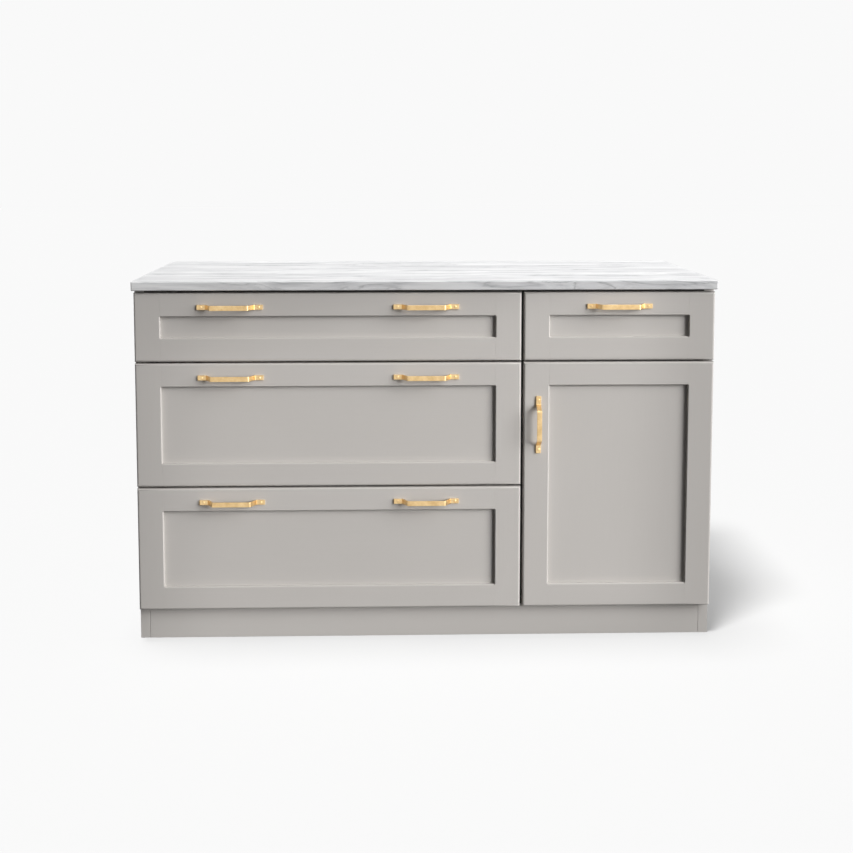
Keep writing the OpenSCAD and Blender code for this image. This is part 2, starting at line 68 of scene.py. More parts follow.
# the photograph's side and the focal length, both in its pixels; the sensor in millimetres
PHOTO_SIDE = 853
FOCAL_PX = 1403
SENSOR = 36
# how far the picture moves over the sensor, as a share of its side
PICTURE_SHIFT = -0.15
# the camera's place in metres, and the way it faces
EYE = (-0.094, -3.534, 1.126)
LOOKS_DOWN = math.radians(5.61)
TURNS_RIGHT = math.radians(1.69)


def make_camera():
    """The photograph's view: in front, a little left of the middle and above the worktop."""
    data = bpy.data.cameras.new("camera")
    data.sensor_width = SENSOR
    data.lens = FOCAL_PX * SENSOR / PHOTO_SIDE
    data.shift_y = PICTURE_SHIFT
    camera = bpy.data.objects.new("camera", data)
    bpy.context.scene.collection.objects.link(camera)
    camera.location = EYE
    camera.rotation_euler = (math.pi / 2 - LOOKS_DOWN, 0, -TURNS_RIGHT)
    bpy.context.scene.camera = camera


# ------------------------------------------------------------------ node shorthand


class Nodes:
    """Builds a node tree: node() adds one, and its keyword arguments are values or links."""

    def __init__(self, tree):
        self.tree = tree

    def node(self, kind, inputs=None, **settings):
        made = self.tree.nodes.new(kind)
        for name, value in settings.items():
            setattr(made, name, value)
        for name, value in (inputs or {}).items():
            if isinstance(value, bpy.types.NodeSocket):
                self.tree.links.new(value, made.inputs[name])
            else:
                made.inputs[name].default_value = value
        return made

    def math(self, operation, a, b=0.0):
        return self.node("ShaderNodeMath", {0: a, 1: b}, operation=operation).outputs[0]

    def mix(self, factor, a, b):
        made = self.node("ShaderNodeMix", data_type="RGBA")
        for slot, value in ((0, factor), (6, a), (7, b)):
            if isinstance(value, bpy.types.NodeSocket):
                self.tree.links.new(value, made.inputs[slot])
            else:
                made.inputs[slot].default_value = value
        return made.outputs[2]

    def noise(self, vector, scale, detail, rough, distortion=0.0):
        return self.node(
            "ShaderNodeTexNoise",
            {"Vector": vector, "Scale": scale, "Detail": detail, "Roughness": rough,
             "Distortion": distortion},
        ).outputs["Fac"]

    def stretch(self, vector, scale, move=(0, 0, 0)):
        return self.node(
            "ShaderNodeMapping", {"Vector": vector, "Scale": scale, "Location": move}
        ).outputs[0]

    def ramp(self, factor, *stops):
        made = self.node("ShaderNodeValToRGB", {"Fac": factor})
        points = made.color_ramp.elements
        while len(points) < len(stops):
            points.new(0.5)
        for point, (place, colour) in zip(points, stops):
            point.position = place
            point.color = colour
        return made.outputs[0]

    def fade(self, factor, start, end, most=1.0):
        """0 up to the start, then up to the most at the end."""
        return self.ramp(factor, (start, (0, 0, 0, 1)), (end, (most, most, most, 1)))

    def bump(self, height, strength, distance, normal=None):
        inputs = {"Height": height, "Strength": strength, "Distance": distance}
        if normal is not None:
            inputs["Normal"] = normal
        return self.node("ShaderNodeBump", inputs).outputs[0]


def srgb(r, g, b):
    """A colour written as it looks on screen, 0 to 255, as the linear value a shader takes."""
    return tuple(
        (c / 255 / 12.92) if c / 255 <= 0.04045 else ((c / 255 + 0.055) / 1.055) ** 2.4
        for c in (r, g, b)
    ) + (1.0,)


def new_material(name):
    material = bpy.data.materials.new(name)
    material.use_nodes = True
    material.node_tree.nodes.clear()
    n = Nodes(material.node_tree)
    shader = n.node("ShaderNodeBsdfPrincipled")
    out = n.node("ShaderNodeOutputMaterial")
    material.node_tree.links.new(shader.outputs[0], out.inputs[0])
    return material, n, shader


def plug(n, shader, **sockets):
    for name, value in sockets.items():
        socket = shader.inputs[name.replace("_", " ")]
        if isinstance(value, bpy.types.NodeSocket):
            n.tree.links.new(value, socket)
        else:
            socket.default_value = value


# ------------------------------------------------------------------ finishes

GRAIN = "Grain"


def grain_vector(n):
    """The board's own map: U runs along the grain and V across it, in metres."""
    return n.node("ShaderNodeUVMap", uv_map=GRAIN).outputs[0]


def satin_paint():
    """Sprayed greige satin paint; the timber's grain shows through faintly."""
    material, n, shader = new_material("satin_paint")
    along = grain_vector(n)
    streaks = n.noise(n.stretch(along, (9, 260, 1)), 1.0, 5, 0.55)
    cloud = n.noise(along, 2.2, 2, 0.5)
    peel = n.noise(along, 1500, 2, 0.5)
    tone = n.mix(cloud, srgb(183, 179, 175), srgb(190, 186, 182))
    tone = n.mix(n.math("MULTIPLY", streaks, 0.22), tone, srgb(174, 170, 165))
    normal = n.bump(streaks, 0.12, 0.0004)
    normal = n.bump(peel, 0.05, 0.0002, normal)
    rough = n.math("ADD", n.math("MULTIPLY", cloud, 0.10), 0.38)
    plug(n, shader, Base_Color=tone, Roughness=rough, Normal=normal)
    shader.inputs["Specular IOR Level"].default_value = 0.42
    return material


def veined_stone():
    """Honed pale stone with long grey streaks that run with the length of the top."""
    material, n, shader = new_material("veined_stone")
    place = n.node("ShaderNodeTexCoord").outputs["Object"]
    warp = n.noise(n.stretch(place, (1.2, 4.5, 4.5)), 1.0, 3, 0.6)
    bent = n.node(
        "ShaderNodeVectorMath", {0: place, 1: n.stretch(warp, (0.0, 0.22, 0.18))}, operation="ADD"
    ).outputs[0]
    broad = n.noise(n.stretch(bent, (1.1, 15, 15)), 1.0, 6, 0.62, 0.3)
    fine = n.noise(n.stretch(bent, (2.6, 62, 62), move=(3.1, 0, 0)), 1.0, 8, 0.66, 0.4)
    thread = n.noise(n.stretch(bent, (1.7, 24, 24), move=(7.7, 2.0, 0)), 1.0, 5, 0.55, 0.6)
    ridge = n.math("ABSOLUTE", n.math("SUBTRACT", thread, 0.5))
    vein = n.ramp(
        ridge, (0.0, (1, 1, 1, 1)), (0.018, (0.35, 0.35, 0.35, 1)), (0.05, (0, 0, 0, 1))
    )
    patch = n.fade(broad, 0.38, 0.66)
    tone = n.mix(patch, srgb(226, 226, 226), srgb(204, 204, 205))
    tone = n.mix(n.fade(fine, 0.45, 0.66, 0.8), tone, srgb(184, 184, 186))
    tone = n.mix(n.math("MULTIPLY", vein, patch), tone, srgb(146, 147, 149))
    rough = n.math("ADD", n.math("MULTIPLY", fine, 0.12), 0.78)
    plug(n, shader, Base_Color=tone, Roughness=rough, Normal=n.bump(fine, 0.03, 0.0002))
    shader.inputs["Specular IOR Level"].default_value = 0.04
    return material


def aged_brass():
    """Brushed brass with a soft warm patina and scattered darker spots."""
    material, n, shader = new_material("aged_brass")
    along = grain_vector(n)
    brushing = n.noise(n.stretch(along, (60, 5200, 1)), 1.0, 3, 0.6)
    patina = n.noise(along, 55, 5, 0.6)
    spots = n.noise(along, 320, 3, 0.6)
    tone = n.mix(n.fade(patina, 0.35, 0.70), srgb(234, 204, 152), srgb(206, 172, 122))
    tone = n.mix(n.fade(spots, 0.62, 0.72, 0.4), tone, srgb(150, 112, 70))
    rough = n.math("ADD", n.math("MULTIPLY", patina, 0.22), 0.20)
    rough = n.math("ADD", rough, n.math("MULTIPLY", brushing, 0.08))
    normal = n.bump(brushing, 0.10, 0.0001)
    plug(n, shader, Base_Color=tone, Roughness=rough, Metallic=1.0, Normal=normal)
    return material


def pale_wood():
    """Clear lacquered pale timber with growth rings seen along the board."""
    material, n, shader = new_material("pale_wood")
    along = grain_vector(n)
    wander = n.noise(n.stretch(along, (1.3, 7, 1)), 1.0, 2, 0.5)
    rings = n.node(
        "ShaderNodeTexWave",
        {"Vector": n.stretch(along, (0.5, 16, 1)), "Scale": 1.0, "Distortion": 7.0,
         "Detail": 3.0, "Detail Scale": 1.2},
        wave_type="BANDS", bands_direction="Y",
    ).outputs["Fac"]
    pores = n.noise(n.stretch(along, (42, 1500, 1)), 1.0, 3, 0.6)
    tone = n.mix(wander, srgb(222, 199, 163), srgb(205, 178, 138))
    tone = n.mix(n.math("MULTIPLY", rings, 0.35), tone, srgb(184, 150, 106))
    tone = n.mix(n.fade(pores, 0.58, 0.75, 0.45), tone, srgb(150, 116, 78))
    plug(n, shader, Base_Color=tone, Roughness=0.46, Normal=n.bump(pores, 0.18, 0.0002))
    return material


# the boards' front edges, which take the painted shade of the gaps, lie in front of this depth
BOARD_FRONT = -279.5 * MM


def white_board():
    """Matt white faced board with a fine pearl texture, and a dark band of painted shade on its
    front edges, where they show in the gaps between the fronts.
    """
    material, n, shader = new_material("white_board")
    along = grain_vector(n)
    pearl = n.noise(along, 900, 3, 0.6)
    cloud = n.noise(along, 3, 2, 0.5)
    tone = n.mix(cloud, srgb(232, 230, 226), srgb(226, 224, 219))
    where = n.node("ShaderNodeTexCoord").outputs
    depth = n.node("ShaderNodeSeparateXYZ", {0: where["Object"]}).outputs["Y"]
    facing = n.node("ShaderNodeSeparateXYZ", {0: where["Normal"]}).outputs["Y"]
    # painted shade: the front-facing edges at the front are coloured near black, standing in for
    # the shade that fills the gaps between the fronts
    at_front = n.math("LESS_THAN", depth, BOARD_FRONT)
    painted_gap_shade = n.math("MULTIPLY", at_front, n.math("LESS_THAN", facing, -0.7))
    tone = n.mix(painted_gap_shade, tone, n.mix(cloud, srgb(58, 56, 54), srgb(66, 64, 61)))
    plug(n, shader, Base_Color=tone, Roughness=0.55, Normal=n.bump(pearl, 0.12, 0.0001))
    return material


def zinc_steel():
    """Bright zinc plated sheet steel with rolling marks and pale spangle."""
    material, n, shader = new_material("zinc_steel")
    along = grain_vector(n)
    rolling = n.noise(n.stretch(along, (20, 1800, 1)), 1.0, 3, 0.6)
    spangle = n.noise(along, 260, 3, 0.6)
    tone = n.mix(spangle, srgb(190, 193, 197), srgb(168, 172, 178))
    rough = n.math("ADD", n.math("MULTIPLY", rolling, 0.18), 0.24)
    normal = n.bump(rolling, 0.08, 0.0001)
    plug(n, shader, Base_Color=tone, Roughness=rough, Metallic=1.0, Normal=normal)
    return material


def black_plastic():
    """Moulded black plastic with a fine spark-eroded grain."""
    material, n, shader = new_material("black_plastic")
    place = n.node("ShaderNodeTexCoord").outputs["Object"]
    spark = n.noise(place, 1400, 3, 0.7)
    cloud = n.noise(place, 12, 2, 0.5)
    tone = n.mix(cloud, srgb(36, 36, 38), srgb(48, 48, 50))
    plug(n, shader, Base_Color=tone, Roughness=0.52, Normal=n.bump(spark, 0.25, 0.0002))
    return material


MAKERS = (
    satin_paint, veined_stone, aged_brass, pale_wood, white_board, zinc_steel, black_plastic
)
FINISHES = {make.__name__: make() for make in MAKERS}


# ------------------------------------------------------------------ meshes

# below the first angle faces shade smoothly into one another, and below the second they are
# joined into one flat face
CREASE = math.radians(32)
FLAT = math.radians(0.5)
# an edge sharper than this, in degrees, is eased
SHARP = 28


def islands(bm):
    """The mesh's separate solids, each as a list of faces."""
    left = set(bm.faces)
    groups = []
    while left:
        stack = [left.pop()]
        group = list(stack)
        while stack:
            face = stack.pop()
            for edge in face.edges:
                for other in edge.link_faces:
                    if other in left:
                        left.discard(other)
                        stack.append(other)
                        group.append(other)
        groups.append(sorted(group, key=lambda f: f.index))
    return sorted(groups, key=lambda g: g[0].index)


def lay_grain(bm):
    """Maps every solid along its longest side, each board with its own start in the timber."""
    for layer in list(bm.loops.layers.uv):
        bm.loops.layers.uv.remove(layer)
    layer = bm.loops.layers.uv.new(GRAIN)
    bm.faces.index_update()
    for count, faces in enumerate(islands(bm)):
        points = [v.co for f in faces for v in f.verts]
        size = [max(p[i] for p in points) - min(p[i] for p in points) for i in range(3)]
        along = size.index(max(size))
        start = Vector((0.37 * count + 0.11, 0.53 * count + 0.07))
        for face in faces:
            flat = max(range(3), key=lambda i: abs(face.normal[i]))
            if flat == along:
                across = [i for i in range(3) if i != along]
            else:
                across = [along, 3 - along - flat]
            for loop in face.loops:
                loop[layer].uv = start + Vector([loop.vert.co[i] for i in across])


def fan_of(vert, face, left):
    """The faces round a vertex that run on smoothly from one of them."""
    fan, stack = [face], [face]
    while stack:
        for edge in stack.pop().edges:
            if vert not in edge.verts or len(edge.link_faces) != 2:
                continue
            if edge.calc_face_angle(0) < CREASE:
                for other in edge.link_faces:
                    if other in left:
                        left.discard(other)
                        stack.append(other)
                        fan.append(other)
    return fan


def settle_normals(bm, mesh):
    """Smooth shading in which the broad flats stay flat and only the eased edges turn."""
    bm.faces.index_update()
    first, total = {}, 0
    for face in bm.faces:
        first[face.index] = total
        total += len(face.verts)
    area = {face.index: face.calc_area() for face in bm.faces}
    normals = [Vector((0, 0, 1))] * total
    for vert in bm.verts:
        left = set(vert.link_faces)
        while left:
            fan = fan_of(vert, left.pop(), left)
            normal = sum((f.normal * area[f.index] for f in fan), Vector()).normalized()
            for face in fan:
                for step, loop in enumerate(face.loops):
                    if loop.vert is vert:
                        normals[first[face.index] + step] = normal
    bm.to_mesh(mesh)
    for polygon in mesh.polygons:
        polygon.use_smooth = True
    mesh.normals_split_custom_set(normals)


def finish_piece(name, mesh, bm, finish, body, nodes):
    """Turns a bmesh into a finished piece that rides a body and stands for CAD nodes."""
    lay_grain(bm)
    settle_normals(bm, mesh)
    bm.free()
    mesh.name = name
    mesh.materials.clear()
    mesh.materials.append(FINISHES[finish])
    for polygon in mesh.polygons:
        polygon.material_index = 0
    piece = bpy.data.objects.new(name, mesh)
    bpy.context.scene.collection.objects.link(piece)
    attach(piece, body)
    if nodes:
        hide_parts(*nodes)


def ease(bm, width, sharper_than):
    """Rounds the edges that are sharper than an angle in degrees."""
    edges = [
        e for e in bm.edges
        if len(e.link_faces) == 2 and e.calc_face_angle(0) > math.radians(sharper_than)
    ]
    bmesh.ops.bevel(
        bm, geom=edges, offset=width, offset_type="OFFSET", segments=2, profile=0.5,
        affect="EDGES", clamp_overlap=True,
    )


def whole_mesh(node):
    """A copy of a CAD node's mesh with its loose triangles joined into whole faces."""
    mesh = frame["nodes"][node].data.copy()
    bm = bmesh.new()
    bm.from_mesh(mesh)
    bmesh.ops.remove_doubles(bm, verts=bm.verts, dist=1e-6)
    bmesh.ops.dissolve_limit(
        bm, angle_limit=FLAT, verts=bm.verts, edges=bm.edges, use_dissolve_boundaries=False
    )
    return mesh, bm


def dress(node, finish, body, soften):
    """A CAD node's own shape with its edges eased, its grain laid and its finish on."""
    mesh, bm = whole_mesh(node)
    if soften:
        ease(bm, soften, SHARP)
    finish_piece(node + "_finished", mesh, bm, finish, body, [node])


# ------------------------------------------------------------------ shapes grown along guides


def growing_tree(name, sizes):
    """An empty Geometry Nodes tree with a named input for every size."""
    tree = bpy.data.node_groups.new(name, "GeometryNodeTree")
    face = tree.interface
    face.new_socket(name="Guide", in_out="INPUT", socket_type="NodeSocketGeometry")
    for label, value in sizes.items():
        kind = "NodeSocketInt" if isinstance(value, int) else "NodeSocketFloat"
        face.new_socket(name=label, in_out="INPUT", socket_type=kind).default_value = value
    face.new_socket(name="Finish", in_out="INPUT", socket_type="NodeSocketMaterial")
    face.new_socket(name="Piece", in_out="OUTPUT", socket_type="NodeSocketGeometry")
    n = Nodes(tree)
    return n, n.node("NodeGroupInput").outputs


def end_tree(n, shape, finish):
    """Ends a tree with real geometry and its finish."""
    real = n.node("GeometryNodeRealizeInstances", {0: shape}).outputs[0]
    done = n.node("GeometryNodeSetMaterial", {"Geometry": real, "Material": finish}).outputs[0]
    n.node("NodeGroupOutput", {0: done})
    return n.tree


def side_of_guide(n):
    """The direction that a guide carries for the flat side of what grows on it."""
    return n.node(
        "GeometryNodeInputNamedAttribute", {"Name": "side"}, data_type="FLOAT_VECTOR"
    ).outputs["Attribute"]


def guide_mesh(name, lines, sides):
    """A guide of poly-lines, or of single points, each with the direction it faces."""
    mesh = bpy.data.meshes.new(name)
    points, edges, facing = [], [], []
    for line, side in zip(lines, sides):
        edges += [(len(points) + i, len(points) + i + 1) for i in range(len(line) - 1)]
        points += line
        facing += list(side) * len(line)
    mesh.from_pydata(points, edges, [])
    mesh.attributes.new("side", "FLOAT_VECTOR", "POINT").data.foreach_set("vector", facing)
    return mesh


def grow(name, tree, guide, finish, **sizes):
    """Runs a tree on a guide and returns the plain mesh that comes out, as a bmesh."""
    carrier = bpy.data.objects.new(name + "_guide", guide)
    bpy.context.scene.collection.objects.link(carrier)
    modifier = carrier.modifiers.new("grow", "NODES")
    modifier.node_group = tree
    values = {label.replace("_", " "): value for label, value in sizes.items()}
    values["Finish"] = FINISHES[finish]
    for item in tree.interface.items_tree:
        if item.in_out == "INPUT" and item.name in values:
            modifier[item.identifier] = values[item.name]
    graph = bpy.context.evaluated_depsgraph_get()
    mesh = bpy.data.meshes.new_from_object(carrier.evaluated_get(graph), depsgraph=graph)
    bpy.data.objects.remove(carrier)
    bpy.data.meshes.remove(guide)
    bm = bmesh.new()
    bm.from_mesh(mesh)
    bmesh.ops.remove_doubles(bm, verts=bm.verts, dist=2e-6)
    bmesh.ops.recalc_face_normals(bm, faces=bm.faces)
    return mesh, bm


def bent_strap_tree():
    """A flat strap bent along its guide, with round bends and softened arrises."""
    n, size = growing_tree(
        "bent_strap", {"Strap width": 0.0115, "Strap thickness": 0.004, "Bend radius": 0.004,
                       "Arris radius": 0.0007, "Bend steps": 6}
    )
    path = n.node("GeometryNodeMeshToCurve", {0: size["Guide"]}).outputs[0]
    bent = n.node(
        "GeometryNodeFilletCurve",
        {"Curve": path, "Count": size["Bend steps"], "Radius": size["Bend radius"],
         "Limit Radius": True},
        mode="POLY",
    ).outputs[0]
    turned = n.node(
        "GeometryNodeSetCurveNormal", {"Curve": bent, "Normal": side_of_guide(n)}, mode="FREE"
    ).outputs[0]
    section = n.node(
        "GeometryNodeCurvePrimitiveQuadrilateral",
        {"Width": size["Strap width"], "Height": size["Strap thickness"]}, mode="RECTANGLE",
    ).outputs[0]
    section = n.node(
        "GeometryNodeFilletCurve",
        {"Curve": section, "Count": 3, "Radius": size["Arris radius"], "Limit Radius": True},
        mode="POLY",
    ).outputs[0]
    strap = n.node(
        "GeometryNodeCurveToMesh", {"Curve": turned, "Profile Curve": section, "Fill Caps": True}
    ).outputs[0]
    return end_tree(n, strap, size["Finish"])


# of a screw head: its chamfered top's share of the width, and its slot's length and depth
HEAD_TOP = 0.74
SLOT_REACH = 2.2
SLOT_DEPTH = 1.2


def screw_tree():
    """A screw head on every guide point: chamfered, with one slot or a cross, turned at random."""
    n, size = growing_tree(
        "screw_heads", {"Head radius": 0.003, "Head height": 0.0008, "Chamfer height": 0.0005,
                        "Slot width": 0.0007, "Cross": 0, "Seed": 3}
    )
    head = n.node(
        "GeometryNodeMeshCylinder",
        {"Vertices": 28, "Radius": size["Head radius"], "Depth": size["Head height"]},
    ).outputs["Mesh"]
    normal = n.node("GeometryNodeInputNormal").outputs[0]
    up = n.node("ShaderNodeSeparateXYZ", {0: normal}).outputs[2]
    raised = n.node(
        "GeometryNodeExtrudeMesh",
        {"Mesh": head, "Selection": n.math("GREATER_THAN", up, 0.5),
         "Offset Scale": size["Chamfer height"], "Individual": False},
        mode="FACES",
    )
    head = n.node(
        "GeometryNodeScaleElements",
        {"Geometry": raised.outputs["Mesh"], "Selection": raised.outputs["Top"],
         "Scale": HEAD_TOP},
        domain="FACE",
    ).outputs[0]
    top = n.math("ADD", n.math("MULTIPLY", size["Head height"], 0.5), size["Chamfer height"])
    long = n.math("MULTIPLY", size["Head radius"], SLOT_REACH)
    deep = n.math("MULTIPLY", size["Head height"], SLOT_DEPTH)
    crossing = n.math("MAXIMUM", n.math("MULTIPLY", size["Cross"], long), size["Slot width"])
    cutters = []
    for turn, reach in ((0, long), (math.pi / 2, crossing)):
        slab = n.node(
            "ShaderNodeCombineXYZ", {0: reach, 1: size["Slot width"], 2: deep}
        ).outputs[0]
        cutter = n.node("GeometryNodeMeshCube", {"Size": slab}).outputs["Mesh"]
        place = n.node("ShaderNodeCombineXYZ", {2: top}).outputs[0]
        cutters.append(n.node(
            "GeometryNodeTransform",
            {"Geometry": cutter, "Translation": place, "Rotation": (0, 0, turn)},
        ).outputs[0])
    cut = n.node("GeometryNodeMeshBoolean", {0: head}, operation="DIFFERENCE", solver="EXACT")
    for cutter in cutters:
        n.tree.links.new(cutter, cut.inputs[1])
    facing = n.node(
        "FunctionNodeAlignRotationToVector", {"Vector": side_of_guide(n)}, axis="Z"
    ).outputs[0]
    chance = n.node(
        "FunctionNodeRandomValue", {2: 0.0, 3: math.pi, "Seed": size["Seed"]}, data_type="FLOAT"
    ).outputs[1]
    spin = n.node(
        "FunctionNodeAxisAngleToRotation", {"Axis": (0, 0, 1), "Angle": chance}
    ).outputs[0]
    turned = n.node(
        "FunctionNodeRotateRotation", {"Rotation": facing, "Rotate By": spin},
        rotation_space="LOCAL",
    ).outputs[0]
    heads = n.node(
        "GeometryNodeInstanceOnPoints",
        {"Points": size["Guide"], "Instance": cut.outputs[0], "Rotation": turned},
    ).outputs[0]
    return end_tree(n, heads, size["Finish"])


def bearing_tree():
    """A thin cage along every guide line with balls through it at an even pitch."""
    n, size = growing_tree(
        "ball_cage", {"Ball radius": 0.0016, "Ball pitch": 0.012, "Cage width": 0.0046,
                      "Cage thickness": 0.0007}
    )
    path = n.node("GeometryNodeMeshToCurve", {0: size["Guide"]}).outputs[0]
    path = n.node(
        "GeometryNodeSetCurveNormal", {"Curve": path, "Normal": side_of_guide(n)}, mode="FREE"
    ).outputs[0]
    ball = n.node(
        "GeometryNodeMeshIcoSphere", {"Radius": size["Ball radius"], "Subdivisions": 2}
    ).outputs["Mesh"]
    places = n.node(
        "GeometryNodeResampleCurve", {"Curve": path, "Length": size["Ball pitch"]}, mode="LENGTH"
    ).outputs[0]
    balls = n.node("GeometryNodeInstanceOnPoints", {"Points": places, "Instance": ball}).outputs[0]
    section = n.node(
        "GeometryNodeCurvePrimitiveQuadrilateral",
        {"Width": size["Cage thickness"], "Height": size["Cage width"]}, mode="RECTANGLE",
    ).outputs[0]
    cage = n.node(
        "GeometryNodeCurveToMesh", {"Curve": path, "Profile Curve": section, "Fill Caps": True}
    ).outputs[0]
    both = n.node("GeometryNodeJoinGeometry")
    n.tree.links.new(balls, both.inputs[0])
    n.tree.links.new(cage, both.inputs[0])
    return end_tree(n, both.outputs[0], size["Finish"])


def thread_tree():
    """A screw thread wound up from every guide point."""
    n, size = growing_tree(
        "stem_thread", {"Stem radius": 0.009, "Thread height": 0.03, "Turns": 10.0,
                        "Thread depth": 0.0007}
    )
    coil = n.node(
        "GeometryNodeCurveSpiral",
        {"Resolution": 20, "Rotations": size["Turns"], "Start Radius": size["Stem radius"],
         "End Radius": size["Stem radius"], "Height": size["Thread height"]},
    ).outputs[0]
    ridge = n.node(
        "GeometryNodeCurvePrimitiveCircle", {"Resolution": 4, "Radius": size["Thread depth"]},
        mode="RADIUS",
    ).outputs[0]
    thread = n.node(
        "GeometryNodeCurveToMesh", {"Curve": coil, "Profile Curve": ridge, "Fill Caps": True}
    ).outputs[0]
    threads = n.node(
        "GeometryNodeInstanceOnPoints", {"Points": size["Guide"], "Instance": thread}
    ).outputs[0]
    return end_tree(n, threads, size["Finish"])


# ------------------------------------------------------------------ the unit's pieces

# the handles: the strap, their lengths, how far they stand out, the length of a foot, and the
# distance along the bar that a slanted leg takes
STRAP_WIDTH = 11.5 * MM
STRAP_THICKNESS = 4 * MM
DRAWER_HANDLE = 152 * MM
DOOR_HANDLE = 135 * MM
STANDS_OUT = 28 * MM
FOOT = 19 * MM
LEG_RUN = 13 * MM
BEND_RADIUS = 4 * MM
# the cut ends of the strap: how much they are eased, and the angle in degrees that tells them
END_EASE = 0.5 * MM
STRAP_END = 60
# the handles' screw heads, and how far their middles stand proud of the strap
HEAD_RADIUS = 3 * MM
HEAD_PROUD = 0.2 * MM
OUTWARD = Vector((0, -1, 0))


def strap_line(middle, along, length):
    """The middle line of one handle: foot, slanted leg, bar, leg and foot."""
    half = length / 2
    rise = STANDS_OUT - STRAP_THICKNESS
    # half the shift that keeps the strap's thickness even on the slant
    shift = STRAP_THICKNESS * (math.hypot(LEG_RUN, rise) - LEG_RUN) / rise / 2
    low, high = STRAP_THICKNESS / 2, STANDS_OUT - STRAP_THICKNESS / 2
    side = [(-half, low), (-half + FOOT + shift, low), (-half + FOOT + LEG_RUN + shift, high)]
    line = side + [(-run, out) for run, out in reversed(side)]
    return [middle + along * run + OUTWARD * out for run, out in line]


def foot_screws(middle, along, length):
    """The middles of a handle's two screw heads, on the faces of its feet."""
    reach = length / 2 - FOOT / 2
    out = OUTWARD * (STRAP_THICKNESS + HEAD_PROUD)
    return [middle + along * reach * side + out for side in (-1, 1)]


def make_handles(body, node, screw_node, spots, along, length, side, strap, screws):
    """Bent brass handles with their screws, in the places of the CAD handles."""
    lines = [strap_line(spot, along, length) for spot in spots]
    guide = guide_mesh(node, lines, [side] * len(spots))
    mesh, bm = grow(
        node, strap, guide, "aged_brass", Strap_width=STRAP_WIDTH, Strap_thickness=STRAP_THICKNESS,
        Bend_radius=BEND_RADIUS,
    )
    ease(bm, END_EASE, STRAP_END)
    finish_piece(node + "_bent", mesh, bm, "aged_brass", body, [node])
    points = [point for spot in spots for point in foot_screws(spot, along, length)]
    guide = guide_mesh(node + "_screws", [[point] for point in points], [OUTWARD] * len(points))
    mesh, bm = grow(node + "_screws", screws, guide, "aged_brass", Head_radius=HEAD_RADIUS)
    finish_piece(node + "_screw_heads", mesh, bm, "aged_brass", body, [screw_node])


def drawer_handle_spots(drawer):
    """The middles of a drawer's handles on its face: two, or one on the narrow drawer."""
    lo, hi = (Vector(c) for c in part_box(drawer + "_handles"))
    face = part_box(drawer + "_frame")[0][1]
    height = (lo.z + hi.z) / 2
    first, last = lo.x + DRAWER_HANDLE / 2, hi.x - DRAWER_HANDLE / 2
    middles = [first] if last - first < DRAWER_HANDLE / 2 else [first, last]
    return [Vector((x, face, height)) for x in middles]


def make_all_handles(screws):
    strap = bent_strap_tree()
    for drawer in DRAWERS:
        make_handles(
            drawer, drawer + "_handles", drawer + "_handle_screws", drawer_handle_spots(drawer),
            Vector((1, 0, 0)), DRAWER_HANDLE, (0, 0, 1), strap, screws,
        )
    lo, hi = (Vector(c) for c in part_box("door_handle"))
    spot = Vector(((lo.x + hi.x) / 2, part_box("door_frame")[0][1], (lo.z + hi.z) / 2))
    make_handles(
        "door", "door_handle", "door_handle_screws", [spot], Vector((0, 0, 1)), DOOR_HANDLE,
        (1, 0, 0), strap, screws,
    )


# half the height of a hinge's mounting plate with its wings
PLATE_HALF = 23 * MM
# a hinge screw's place: along X, along Y, and above or below the hinge's middle
PLATE_SCREW = (-3.3 * MM, 37 * MM, 16 * MM)
CUP_SCREW = (-4 * MM, 0.3 * MM, 22.5 * MM)


def put_screws(name, points, facing, body, screws):
    """Cross-slotted steel screw heads on points of a face."""
    guide = guide_mesh(name, [[point] for point in points], [facing] * len(points))
    mesh, bm = grow(
        name, screws, guide, "zinc_steel", Head_radius=3.4 * MM, Slot_width=0.9 * MM, Cross=1,
        Seed=8,
    )
    finish_piece(name, mesh, bm, "zinc_steel", body, [])


def hinge_spots(x, y, heights, place):
    """The middles of the two screws of every hinge, above and below its own middle."""
    across, back, rise = place
    return [Vector((x + across, y + back, z + up)) for z in heights for up in (-rise, rise)]


def make_hinge_screws(screws):
    """The screws in the wings of the hinge plates and in the ears of the hinge cups."""
    arms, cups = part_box("hinge_arms"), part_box("hinge_cups")
    panel = Vector(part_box("end_panel_right")[0])
    heights = (arms[0][2] + PLATE_HALF, arms[1][2] - PLATE_HALF)
    wings = hinge_spots(panel.x, panel.y, heights, PLATE_SCREW)
    put_screws("hinge_plate_screws", wings, (-1, 0, 0), "root", screws)
    ears = hinge_spots((cups[0][0] + cups[1][0]) / 2, cups[1][1], heights, CUP_SCREW)
    put_screws("hinge_cup_screws", ears, (0, 1, 0), "door", screws)


# a runner's width between the body's board and the box
RUNNER_WIDTH = 13 * MM
# a ball track's distance from the body's board and from the runner's mid height
OUTER_TRACK = (5.3 * MM, 19.55 * MM)
INNER_TRACK = (8.5 * MM, 14.85 * MM)
# the cages stop this far short of the middle member's ends
CAGE_INSET = 12 * MM
# along the middle member: where the outer cages start and where the inner ones stop
OUTER_START = 0.52
INNER_STOP = 0.46


